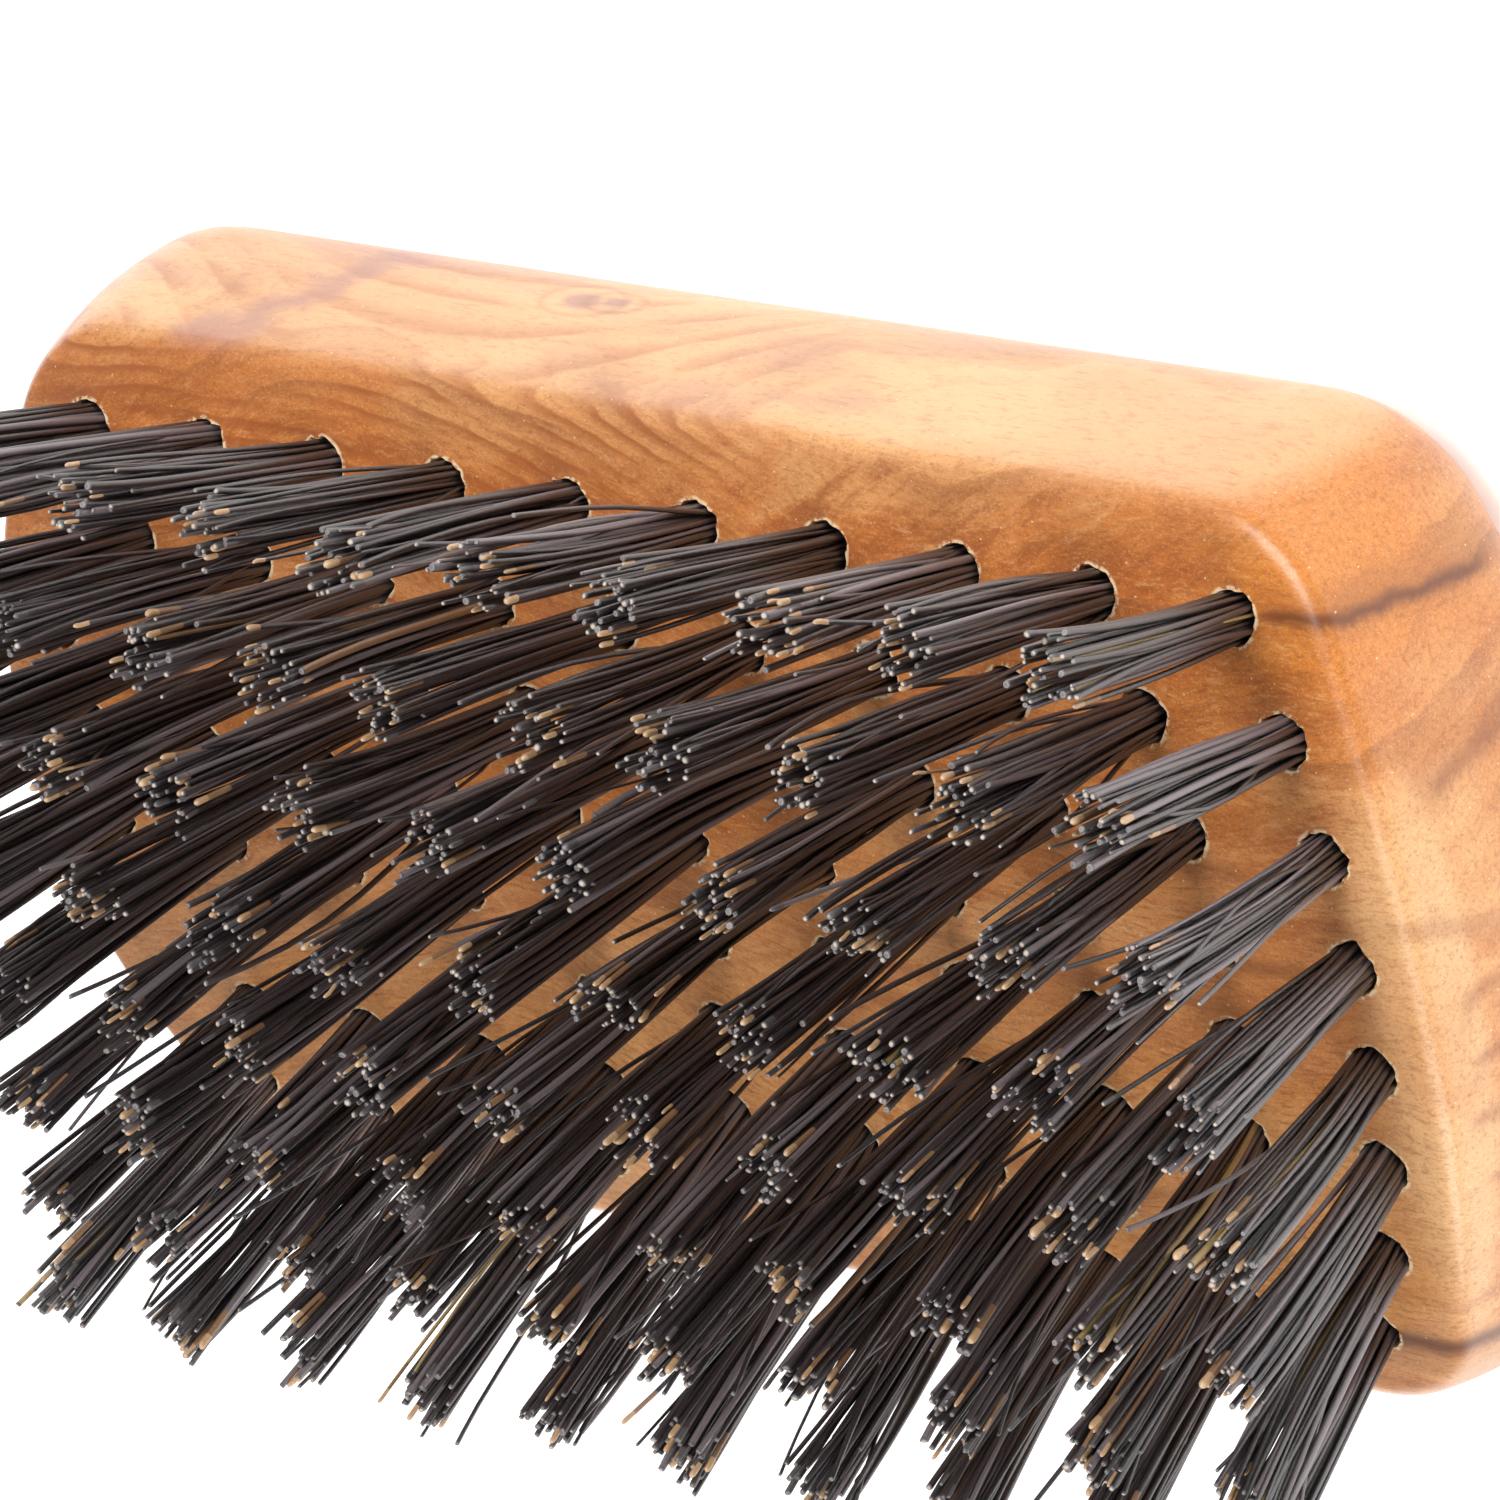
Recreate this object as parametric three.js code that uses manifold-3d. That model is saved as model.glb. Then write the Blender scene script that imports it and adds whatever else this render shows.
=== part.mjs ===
// Beard brush: a one-piece olive wood body, drilled with eight rows of blind holes,
// and a tuft of boar bristle set in every hole. Millimetres, +Z up.
// The brush lies on the flat of its back with the bristles up. +X runs along the brush, and the
// origin is the middle of the flat back.

import * as THREE from 'three';
import { mergeVertices } from 'three/addons/utils/BufferGeometryUtils.js';
import Module from 'manifold-3d';

// ---------- driving dimensions ----------

// Wood body
const bodyLength = 83; // over the middle of the two bulging ends
const bodyWidth = 45; // over the two long sides
const bodyHeight = 15; // flat back to the crown of the bristle face
const crownRadius = 69; // the bristle face is a shallow barrel across the width
const endRadius = 44; // plan radius of the bulging ends
const cornerRadius = 7; // plan radius of the four corners of the bristle face
const wallInset = 1.2; // how far the side wall leans in by the time it meets the bristle face
const backEdgeRadius = 4.3; // round all along the edge of the back
const faceEdgeRadius = 0.8; // small round where the side wall meets the bristle face
const plumbHeight = 5.5; // height at which the side wall stands upright

// Drilling
const tuftsInRow = [10, 10, 11, 11, 11, 11, 10, 10]; // from the +Y side to the -Y side
const holeDiameter = 2.3;
const holeDepth = 7; // along the hole, below the face
const sideMargin = 4.4; // edge of the bristle face to the centre of the outer rows
const endMargin = 3.3; // end of the bristle face to the first tuft of a row in the middle
const tuftArcRadius = 33.5; // the first tufts of all rows lie on this arc
const fanRadiusAcross = 51; // the holes fan out from a line this far below the face, across the brush
const fanRadiusAlong = 254; // and much less along it

// Tufts
const tuftLength = 14.4; // free length above the face
const tipDiameter = 3.5; // spread of the bristles at their tips
const tuftClearance = 0.2; // tuft to hole wall
const floorClearance = 0.4; // folded root of the tuft to the floor of the hole
const rootFoldLength = 0.9; // rounded fold of the bristles around their wire anchor
const strayDiameter = 0.5; // bristle of one tuft that leans into the next
const strayFoot = 0.45; // where the stray bristle leaves its own tuft, as a share of the free length
const strayHead = 0.85; // where it meets the next tuft
const tuftNodesPerRow = 7; // the tufts beyond these pair up with a neighbour through a stray bristle
const pairOrder = [1, 3, 5, 0, 2, 4, 6]; // the nodes of a row that become pairs, first to last

// Facets
const cornerSteps = 5;
const endSteps = 4; // half of one end
const edgeSteps = 4;
const holeSides = 8;
const tuftSides = 6;
const straySides = 5;

// ---------- materials ----------

const wood = { color: 0xd0904f, roughness: 0.35, metalness: 0 };
const bristle = { color: 0x2a2322, roughness: 0.5, metalness: 0 };

// ---------- solids ----------

const wasm = await Module();
wasm.setup();

/** A closed three.js geometry as a manifold solid, in the place given by a matrix. */
function toSolid(geometry, matrix) {
  const bare = geometry.index ? geometry.toNonIndexed() : geometry.clone();
  bare.deleteAttribute('normal');
  bare.deleteAttribute('uv');
  if (matrix) bare.applyMatrix4(matrix);
  const merged = mergeVertices(bare, 1e-5);
  const vertProperties = new Float32Array(merged.attributes.position.array);
  const corners = merged.index.array;
  const triVerts = [];
  for (let i = 0; i < corners.length; i += 3) {
    const [a, b, c] = corners.slice(i, i + 3);
    // The poles of a lathe leave triangles with two corners in one place.
    if (a !== b && b !== c && c !== a) triVerts.push(a, b, c);
  }
  return new wasm.Manifold(
    new wasm.Mesh({ numProp: 3, vertProperties, triVerts: new Uint32Array(triVerts) }),
  );
}

/** A manifold solid as a three.js geometry. */
function toGeometry(solid) {
  const mesh = solid.getMesh();
  const geometry = new THREE.BufferGeometry();
  geometry.setAttribute('position', new THREE.BufferAttribute(new Float32Array(mesh.vertProperties), 3));
  geometry.setIndex(new THREE.BufferAttribute(new Uint32Array(mesh.triVerts), 1));
  geometry.computeVertexNormals();
  return geometry;
}

// ---------- the wood body ----------

const faceHalfLength = bodyLength / 2 - wallInset;
const faceHalfWidth = bodyWidth / 2 - wallInset;

/** Height of the bristle face over the back, at a distance y from the middle line. */
function faceHeight(y) {
  return bodyHeight - (crownRadius - Math.sqrt(crownRadius ** 2 - y ** 2));
}

/** How far an arc of the given radius falls back from its crown at a distance y from the middle. */
function sagitta(radius, y) {
  return radius - Math.sqrt(radius ** 2 - y ** 2);
}

/**
 * One quarter of the plan outline of the bristle face grown outwards by an offset, from the middle of
 * the +X end to the start of the straight +Y side.
 */
function outlineQuarter(offset) {
  const corner = cornerRadius + offset;
  const end = endRadius + offset;
  const endCentreX = faceHalfLength - endRadius;
  const cornerY = faceHalfWidth - cornerRadius;
  const cornerTurn = Math.asin(cornerY / (endRadius - cornerRadius));
  const cornerX = endCentreX + (endRadius - cornerRadius) * Math.cos(cornerTurn);
  const points = [];
  for (let i = 0; i < endSteps; i += 1) {
    const turn = (cornerTurn * i) / endSteps;
    points.push([endCentreX + end * Math.cos(turn), end * Math.sin(turn)]);
  }
  for (let i = 0; i <= cornerSteps; i += 1) {
    const turn = cornerTurn + ((Math.PI / 2 - cornerTurn) * i) / cornerSteps;
    points.push([cornerX + corner * Math.cos(turn), cornerY + corner * Math.sin(turn)]);
  }
  return points;
}

/** The whole outline, anticlockwise from the middle of the +X end. */
function outline(offset) {
  const quarter = outlineQuarter(offset);
  const backwards = quarter.slice(1).reverse();
  return [
    ...quarter,
    ...quarter.slice().reverse().map(([x, y]) => [-x, y]),
    ...quarter.slice(1).map(([x, y]) => [-x, -y]),
    ...backwards.map(([x, y]) => [x, -y]),
  ];
}

/**
 * The side wall from the back to the face, as steps of [offset from the face outline, height].
 * The height is a function of y, because the top of the wall follows the barrel of the face.
 */
function wallProfile() {
  const steps = [];
  for (let i = 0; i <= edgeSteps; i += 1) {
    const turn = (Math.PI / 2) * (i / edgeSteps);
    const offset = wallInset - backEdgeRadius + backEdgeRadius * Math.sin(turn);
    const height = backEdgeRadius - backEdgeRadius * Math.cos(turn);
    steps.push([offset, () => height]);
  }
  // The upper wall leans in on an arc that starts upright at plumbHeight.
  for (const share of [0.4, 0.75]) {
    steps.push([
      wallInset * (1 - share ** 2),
      (y) => plumbHeight + (faceHeight(y) - plumbHeight) * share,
    ]);
  }
  steps.push([faceEdgeRadius * 0.35, (y) => faceHeight(y) - faceEdgeRadius * 0.9]);
  steps.push([-faceEdgeRadius * 0.15, (y) => faceHeight(y) - faceEdgeRadius * 0.25]);
  steps.push([-faceEdgeRadius, (y) => faceHeight(y)]);
  return steps;
}

function woodBlank() {
  const rings = wallProfile().map(([offset, height]) =>
    outline(offset).map(([x, y]) => [x, y, height(y)]),
  );
  const count = rings[0].length;
  const positions = rings.flat(2);
  const indices = [];
  const quad = (a, b, c, d) => indices.push(a, b, c, a, c, d);
  for (let ring = 0; ring + 1 < rings.length; ring += 1) {
    for (let i = 0; i < count; i += 1) {
      const next = (i + 1) % count;
      quad(ring * count + i, ring * count + next, (ring + 1) * count + next, (ring + 1) * count + i);
    }
  }
  // Caps: strips that run from the +X end to the -X end at equal y, so the face keeps its barrel.
  const quarter = outlineQuarter(0).length;
  const top = (rings.length - 1) * count;
  const half = 2 * quarter - 1; // index of the middle of the -X end
  for (let i = 0; i + 1 < quarter; i += 1) {
    quad(top + i, top + i + 1, top + half - i - 1, top + half - i);
    quad(top + ((count - i - 1) % count), top + ((count - i) % count), top + half + i, top + half + i + 1);
    quad(i + 1, i, half - i, half - i - 1);
    quad((count - i) % count, count - i - 1, half + i + 1, half + i);
  }
  const geometry = new THREE.BufferGeometry();
  geometry.setAttribute('position', new THREE.Float32BufferAttribute(positions, 3));
  geometry.setIndex(indices);
  return geometry;
}

// ---------- where the tufts stand ----------

const outerRowY = faceHalfWidth - sideMargin;
const rowPitch = (2 * outerRowY) / (tuftsInRow.length - 1);

/** The x of the first tuft of the row at y. */
function firstTuftX(y) {
  return faceHalfLength - endMargin - sagitta(tuftArcRadius, y);
}

// The outer rows reach from end to end, and the other rows are drilled at the same pitch.
const tuftPitch = (2 * firstTuftX(outerRowY)) / (tuftsInRow[0] - 1);

/** A matrix that stands the +Y axis of a lathe along the tuft whose hole opens at x, y. */
function tuftMatrix(x, y) {
  const up = new THREE.Vector3(x / fanRadiusAlong, y / fanRadiusAcross, 1).normalize();
  const turn = new THREE.Quaternion().setFromUnitVectors(new THREE.Vector3(0, 1, 0), up);
  const mouth = new THREE.Vector3(x, y, faceHeight(y));
  return new THREE.Matrix4().compose(mouth, turn, new THREE.Vector3(1, 1, 1));
}

/** The matrices of the tufts of one row, starting at the +X end. */
function tuftRow(count, rowIndex) {
  const y = outerRowY - rowIndex * rowPitch;
  const first = firstTuftX(y);
  // A row that would run past the arc at the other end closes up until it reaches it.
  const pitch = Math.min(tuftPitch, (2 * first) / (count - 1));
  return Array.from({ length: count }, (_, i) => tuftMatrix(first - i * pitch, y));
}

// ---------- tuft and hole ----------

function holeGeometry() {
  const radius = holeDiameter / 2;
  const profile = [
    [0, -holeDepth],
    [radius, -holeDepth],
    [radius, holeDepth],
    [0, holeDepth],
  ];
  return new THREE.LatheGeometry(profile.map(([r, z]) => new THREE.Vector2(r, z)), holeSides);
}

function tuftGeometry() {
  const rootRadius = holeDiameter / 2 - tuftClearance;
  const floor = -holeDepth + floorClearance;
  const profile = [
    [0, floor],
    [rootRadius * 0.6, floor],
    [rootRadius, floor + rootFoldLength],
    [rootRadius, 0],
    [tipDiameter / 2, tuftLength],
    [0, tuftLength],
  ];
  return new THREE.LatheGeometry(profile.map(([r, z]) => new THREE.Vector2(r, z)), tuftSides);
}

/** The bristle of one tuft that leans over into the next one. */
function strayBristle(fromTuft, toTuft) {
  const foot = new THREE.Vector3(0, strayFoot * tuftLength, 0).applyMatrix4(fromTuft);
  const head = new THREE.Vector3(0, strayHead * tuftLength, 0).applyMatrix4(toTuft);
  const along = head.clone().sub(foot);
  const radius = strayDiameter / 2;
  const geometry = new THREE.CylinderGeometry(radius, radius, along.length(), straySides);
  const turn = new THREE.Quaternion().setFromUnitVectors(new THREE.Vector3(0, 1, 0), along.normalize());
  const middle = foot.add(head).multiplyScalar(0.5);
  return toSolid(geometry, new THREE.Matrix4().compose(middle, turn, new THREE.Vector3(1, 1, 1)));
}

// ---------- assembly ----------

const brush = new THREE.Group();

function addNode(name, solid, look) {
  const mesh = new THREE.Mesh(toGeometry(solid), new THREE.MeshStandardMaterial(look));
  mesh.name = name;
  brush.add(mesh);
}

const rows = tuftsInRow.map(tuftRow);
const hole = holeGeometry();
const tuft = tuftGeometry();

let body = toSolid(woodBlank());
for (const matrix of rows.flat()) {
  body = body.subtract(toSolid(hole, matrix));
}
addNode('wood_body', body, wood);

rows.forEach((row, rowIndex) => {
  const pairedNodes = pairOrder.slice(0, row.length - tuftNodesPerRow);
  let next = 0;
  for (let node = 0; node < tuftNodesPerRow; node += 1) {
    const paired = pairedNodes.includes(node);
    let solid = toSolid(tuft, row[next]);
    let name = `tuft_row${rowIndex + 1}_${next + 1}`;
    if (paired) {
      solid = solid.add(strayBristle(row[next], row[next + 1])).add(toSolid(tuft, row[next + 1]));
      name = `${name}_and_${next + 2}`;
    }
    addNode(name, solid, bristle);
    next += paired ? 2 : 1;
  }
});

export default brush;
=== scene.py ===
"""A beard brush: an olive wood body with a crowned face, and 84 tufts of dark boar bristle that fan
out from drilled holes. Lengths in this file are in millimetres until a mesh is made."""

import math

import bpy
import numpy as np
from mathutils import Matrix, Vector
from mathutils.geometry import delaunay_2d_cdt


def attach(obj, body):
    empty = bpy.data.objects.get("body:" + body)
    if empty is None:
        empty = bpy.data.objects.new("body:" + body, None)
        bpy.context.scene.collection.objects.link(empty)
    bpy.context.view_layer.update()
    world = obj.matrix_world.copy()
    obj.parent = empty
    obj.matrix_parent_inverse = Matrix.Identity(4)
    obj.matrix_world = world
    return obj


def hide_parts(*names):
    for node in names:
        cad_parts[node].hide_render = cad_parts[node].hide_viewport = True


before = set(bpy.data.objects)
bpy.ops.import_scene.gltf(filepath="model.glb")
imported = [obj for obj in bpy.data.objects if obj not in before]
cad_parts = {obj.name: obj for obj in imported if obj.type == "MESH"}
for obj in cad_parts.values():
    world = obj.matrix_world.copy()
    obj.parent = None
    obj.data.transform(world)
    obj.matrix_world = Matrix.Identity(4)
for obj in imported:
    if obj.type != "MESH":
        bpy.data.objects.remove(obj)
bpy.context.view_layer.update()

MM = 0.001
SEED = 20261

# The wood body.
BODY_LENGTH = 83.0
BODY_WIDTH = 45.0
BODY_HEIGHT = 15.0
CROWN_RADIUS = 69.0
END_RADIUS = 44.0
CORNER_RADIUS = 7.0
WALL_INSET = 1.2
BACK_EDGE_RADIUS = 4.3
FACE_EDGE_RADIUS = 0.8
PLUMB_HEIGHT = 5.5
FACE_HALF_LENGTH = BODY_LENGTH / 2 - WALL_INSET
FACE_HALF_WIDTH = BODY_WIDTH / 2 - WALL_INSET
WOOD_SHARP_ANGLE = math.radians(50)

# The holes and the tufts in them.
TUFTS_IN_ROW = (10, 10, 11, 11, 11, 11, 10, 10)
HOLE_RADIUS = 1.15
HOLE_DEPTH = 7.0
HOLE_TIP = 0.35
HOLE_SIDES = 40
SIDE_MARGIN = 4.4
END_MARGIN = 3.3
TUFT_ARC_RADIUS = 33.5
FAN_RADIUS_ACROSS = 51.0
FAN_RADIUS_ALONG = 254.0
TUFT_LENGTH = 14.4
OUTER_ROW_Y = FACE_HALF_WIDTH - SIDE_MARGIN
PAIRS_OF_10 = ((2, 3), (5, 6), (8, 9))
PAIRS_OF_11 = ((1, 2), (3, 4), (6, 7), (9, 10))

# The bristles of one tuft, each folded in the middle round the tuft's anchor wire.
FOLDED_BRISTLES = 24
BRISTLE_ENDS = 2 * FOLDED_BRISTLES
BRISTLE_SIDES = 7
BRISTLE_RADIUS = 0.124
BRISTLE_RADIUS_VARIES = 0.027
THINNEST = 0.075
THICKEST = 0.185
PACKED_REACH = 0.985
PACKED_GAP = 0.262
FOLD_DEPTH = 5.6
ANCHOR_DEPTH = 5.0
ANCHOR_SIZE = (2.6, 0.3, 1.2)
ANCHOR_CORNER = 0.08
ANCHOR_SAG = 0.10
ANCHOR_SHARP_ANGLE = math.radians(60)

GOLDEN_ANGLE = 2.399963
ANY_TURN = 6.28

# Colours of the wood, and of the light and shade painted on it.
PALE = (0.76, 0.385, 0.150)
HONEY = (0.64, 0.238, 0.060)
AMBER = (0.53, 0.158, 0.028)
BROWN = (0.25, 0.075, 0.022)
RUSSET = (0.34, 0.088, 0.019)
DARK = (0.095, 0.028, 0.012)
PLUM = (0.36, 0.17, 0.15)
CREAM = (0.90, 0.68, 0.42)
PALE_AMBER = (0.82, 0.43, 0.17)
# Painted highlight at the +X end of the face.
PAINTED_HIGHLIGHT = (0.88, 0.56, 0.29)
# Painted light at the +X +Y corner and on the long +Y wall.
PAINTED_GLOW = (0.72, 0.245, 0.032)
PAINTED_LIT_WALL = (0.84, 0.55, 0.31)

# Colours and roughness of the bristles. A bristle has one of the first six along its length.
TONES = (
    ("bristle_black", (0.0150, 0.0103, 0.0120), 0.36),
    ("bristle_soot", (0.0350, 0.0245, 0.0275), 0.38),
    ("bristle_umber", (0.0340, 0.0210, 0.0200), 0.38),
    ("bristle_slate", (0.1500, 0.1200, 0.1290), 0.42),
    ("bristle_straw", (0.40, 0.27, 0.10), 0.42),
    ("bristle_tan", (0.24, 0.12, 0.05), 0.46),
    ("tip_rim", (0.22, 0.195, 0.19), 0.52),
    ("tip_core", (0.56, 0.42, 0.295), 0.6),
    ("tip_amber", (0.50, 0.30, 0.145), 0.45),
    ("tip_grey", (0.070, 0.062, 0.064), 0.45),
)
TONE_ODDS = (0.42, 0.26, 0.16, 0.145, 0.0075, 0.0075)
SLATE, TAN, TIP_RIM, TIP_CORE, TIP_AMBER, TIP_GREY = 3, 5, 6, 7, 8, 9


def sagitta(radius, across):
    return radius - math.sqrt(radius * radius - across * across)


def face_height(y):
    return BODY_HEIGHT - CROWN_RADIUS + np.sqrt(CROWN_RADIUS**2 - np.square(y))


def unit(v):
    return v / np.linalg.norm(v)


# ---------------------------------------------------------------- materials


class Num:
    """A number in a node tree, with the usual arithmetic."""

    def __init__(self, shade, socket):
        self.shade = shade
        self.socket = socket

    def __add__(self, other):
        return self.shade.maths("ADD", self, other)

    def __sub__(self, other):
        return self.shade.maths("SUBTRACT", self, other)

    def __rsub__(self, other):
        return self.shade.maths("SUBTRACT", other, self)

    def __mul__(self, other):
        return self.shade.maths("MULTIPLY", self, other)

    def __rmul__(self, other):
        return self.shade.maths("MULTIPLY", other, self)

    def abs(self):
        return self.shade.maths("ABSOLUTE", self)

    def fract(self):
        return self.shade.maths("FRACT", self)

    def exp(self):
        return self.shade.maths("EXPONENT", self)

    def root(self):
        return self.shade.maths("SQRT", self)

    def above(self, low, high):
        """Rises smoothly from 0 at low to 1 at high. Falls instead where low is more than high."""
        return self.shade.ramp(self, low, high)

    def near(self, value, reach):
        """1 where the number is value, falling smoothly to 0 at reach away from it."""
        return self.shade.ramp((self - value).abs(), reach, 0.0)

    def at_most(self, other):
        return self.shade.maths("MINIMUM", self, other)


class Shade:
    """A material being built round its Principled node."""

    def __init__(self, name, colour, roughness):
        self.material = bpy.data.materials.new(name)
        self.material.use_nodes = True
        self.tree = self.material.node_tree
        self.shader = self.tree.nodes["Principled BSDF"]
        self.material.diffuse_color = (*colour, 1.0)
        self.set("Base Color", (*colour, 1.0))
        self.set("Roughness", roughness)

    def set(self, name, value):
        self.put(self.shader.inputs[name], value)

    def put(self, socket, value):
        if isinstance(value, Num):
            value = value.socket
        if isinstance(value, bpy.types.NodeSocket):
            self.tree.links.new(value, socket)
        else:
            socket.default_value = value

    def node(self, kind, **settings):
        made = self.tree.nodes.new(kind)
        for name, value in settings.items():
            setattr(made, name, value)
        return made

    def maths(self, operation, *values):
        made = self.node("ShaderNodeMath", operation=operation)
        for socket, value in zip(made.inputs, values):
            self.put(socket, value)
        return Num(self, made.outputs[0])

    def ramp(self, value, low, high):
        made = self.node("ShaderNodeMapRange", interpolation_type="SMOOTHSTEP")
        flip = low > high
        self.put(made.inputs["Value"], value)
        self.put(made.inputs["From Min"], min(low, high))
        self.put(made.inputs["From Max"], max(low, high))
        self.put(made.inputs["To Min"], 1.0 if flip else 0.0)
        self.put(made.inputs["To Max"], 0.0 if flip else 1.0)
        return Num(self, made.outputs["Result"])

    def place(self):
        """The point being shaded, in millimetres from the object's origin."""
        here = self.node("ShaderNodeTexCoord").outputs["Object"]
        made = self.node("ShaderNodeVectorMath", operation="MULTIPLY")
        self.put(made.inputs[0], here)
        made.inputs[1].default_value = (1 / MM,) * 3
        return made.outputs[0]

    def split(self, vector):
        made = self.node("ShaderNodeSeparateXYZ")
        self.put(made.inputs[0], vector)
        return [Num(self, socket) for socket in made.outputs]

    def scaled(self, vector, scale, shift=(0.0, 0.0, 0.0)):
        made = self.node("ShaderNodeVectorMath", operation="MULTIPLY_ADD")
        self.put(made.inputs[0], vector)
        made.inputs[1].default_value = scale
        made.inputs[2].default_value = shift
        return made.outputs[0]

    def joined(self, x, y, z):
        made = self.node("ShaderNodeCombineXYZ")
        for socket, value in zip(made.inputs, (x, y, z)):
            self.put(socket, value)
        return made.outputs[0]

    def noise(self, vector, detail, roughness, distortion=0.0):
        made = self.node("ShaderNodeTexNoise")
        self.put(made.inputs["Vector"], vector)
        self.put(made.inputs["Scale"], 1.0)
        self.put(made.inputs["Detail"], detail)
        self.put(made.inputs["Roughness"], roughness)
        self.put(made.inputs["Distortion"], distortion)
        return Num(self, made.outputs["Fac"])

    def cells(self, vector):
        """The distance to the nearest of many scattered points, and a random number for that point."""
        made = self.node("ShaderNodeTexVoronoi", feature="F1")
        self.put(made.inputs["Vector"], vector)
        self.put(made.inputs["Scale"], 1.0)
        pick = self.node("ShaderNodeSeparateColor")
        self.put(pick.inputs[0], made.outputs["Color"])
        return Num(self, made.outputs["Distance"]), Num(self, pick.outputs[0])

    def attribute(self, name):
        return Num(self, self.node("ShaderNodeAttribute", attribute_name=name).outputs["Fac"])

    def mix(self, factor, first, second):
        made = self.node("ShaderNodeMix", data_type="RGBA")
        for index, value in ((0, factor), (6, first), (7, second)):
            self.put(made.inputs[index], (*value, 1.0) if isinstance(value, tuple) else value)
        return made.outputs[2]

    def bump(self, height, distance, strength):
        made = self.node("ShaderNodeBump")
        self.put(made.inputs["Strength"], strength)
        self.put(made.inputs["Distance"], distance * MM)
        self.put(made.inputs["Height"], height)
        self.set("Normal", made.outputs["Normal"])


class Wood(Shade):
    """Olive wood being built up, tint over tint, with the fields that its parts share."""

    def __init__(self):
        super().__init__("olive_wood", HONEY, 0.34)
        self.colour = HONEY
        self.here = self.place()
        self.x, self.y, self.z = self.split(self.here)

        # How the grain wanders: slow swings along the block, and a finer waver. The growth rings
        # are sheets of the same depth.
        slow = self.pattern((0.04, 0.075, 0.085), (3.1, 7.7, 1.9), 2.0, 0.45) - 0.5
        self.waver = self.pattern((0.14, 0.36, 0.36), (9.2, 2.4, 5.5), 3.0, 0.55) - 0.5
        self.away = self.x + 14.0
        arch = 6.0 - 6.0 * (self.away * self.away * (-1 / 300)).exp()
        self.depth = self.y + self.z * 0.25 + arch + slow * 9.0 + self.waver * 1.5
        self.grain = self.joined(self.x, self.depth, self.z)
        self.bold = self.pattern((0.06, 0.16, 0.16), (5.0, 1.0, 2.0), 2.0, 0.5).above(0.44, 0.68)
        self.fibre = self.noise(self.scaled(self.grain, (0.75, 4.6, 4.6)), 5.0, 0.68)
        self.vessel = self.noise(self.scaled(self.grain, (1.1, 13.0, 13.0), (4.0, 0.0, 0.0)), 2.0, 0.5)
        self.mottle = self.pattern((2.4, 4.2, 4.2), (0.0, 0.0, 0.0), 4.0, 0.7)

        # The main surfaces, each 1 on it and 0 off it.
        self.face = self.z.above(12.0, 12.7) * self.x.above(39.5, 36.0) * self.y.above(21.2, 20.0)
        self.long_wall = self.y.above(20.9, 21.9)

    def pattern(self, scale, shift, detail, roughness, distortion=0.0):
        return self.noise(self.scaled(self.here, scale, shift), detail, roughness, distortion)

    def tint(self, amount, colour):
        self.colour = self.mix(amount, self.colour, colour)


def patchy_ground(w):
    """Broad patches of pale, honey and amber."""
    patches = w.pattern((0.045, 0.12, 0.12), (1.0, 4.0, 8.0), 3.0, 0.55, 0.6)
    w.tint(patches.above(0.36, 0.66), PALE)
    warm = w.noise(w.joined(w.x * 0.05, w.depth * 0.33, w.z * 0.10), 3.0, 0.6)
    w.tint(warm.above(0.46, 0.72) * 0.75, AMBER)


def face_figure(w):
    """The face is a deeper amber towards the long +Y edge, in flames that lean across it, and has a painted
    highlight along its +X end.
    """
    x, y, z = w.x, w.y, w.z
    flame = w.scaled(w.joined(x + y * 0.9, y - x * 0.12, z), (0.10, 0.40, 0.2), (6.0, 2.0, 0.0))
    flame = w.noise(flame, 4.0, 0.62, 0.8)
    upper_face = y.above(9.0, 15.0) * y.above(21.4, 20.4) * x.above(40.0, 34.0)
    w.tint(w.face * (flame.above(0.34, 0.60) * 0.50 + 0.22), AMBER)
    w.tint(upper_face * 0.42, AMBER)
    w.tint(w.face * flame.above(0.50, 0.64) * (upper_face * 0.26 + 0.34), RUSSET)
    w.tint(w.face * y.above(6.0, -12.0) * 0.42, PALE_AMBER)
    # Painted highlight: a paler strip across the +X end of the face, past the last holes, except towards the
    # +Y side.
    painted_end_highlight = z.above(11.6, 12.6) * x.above(36.0, 38.5) * y.above(13.0, 5.0)
    w.tint(painted_end_highlight * 0.48, PAINTED_HIGHLIGHT)
    lick = w.joined(x * 0.84 + y * 0.55, y * 0.84 - x * 0.55, z)
    lick = w.noise(w.scaled(lick, (0.13, 0.62, 0.2), (1.0, 5.0, 0.0)), 4.0, 0.60, 0.5)
    licks_here = y.above(13.5, 16.5) * y.above(21.4, 20.6) * x.above(-2.0, 8.0) * x.above(38.0, 33.0)
    w.tint(licks_here * lick.above(0.47, 0.60) * 0.60, RUSSET)
    w.tint(licks_here * lick.above(0.45, 0.32) * 0.45, PALE)


def painted_wall_light(w):
    """Painted light: an amber glow of light at the +X +Y corner, and the long +Y wall painted paler where
    the light falls on it.
    """
    painted_corner_light = w.x.above(30.0, 36.0) * w.y.above(12.5, 17.0) * w.z.above(3.0, 8.0)
    w.tint(painted_corner_light * 0.70, PAINTED_GLOW)
    w.tint(w.long_wall * 0.50, PAINTED_LIT_WALL)


def growth_rings(w):
    """Each ring darkens slowly and ends sharply, some strongly and most faintly, with fine ones between."""
    phase = (w.depth * (1 / 2.3)).fract()
    late = phase.above(0.35, 0.93) * phase.above(1.0, 0.93) * (1.0 - w.long_wall * 0.45)
    w.tint(late * (w.bold * 0.42 + 0.07), BROWN)
    thin = (w.depth * (1 / 0.74)).fract()
    fine_rings = thin.above(0.55, 0.92) * thin.above(1.0, 0.92)
    w.tint(fine_rings * (w.bold * 0.12 + 0.03), BROWN)


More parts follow.
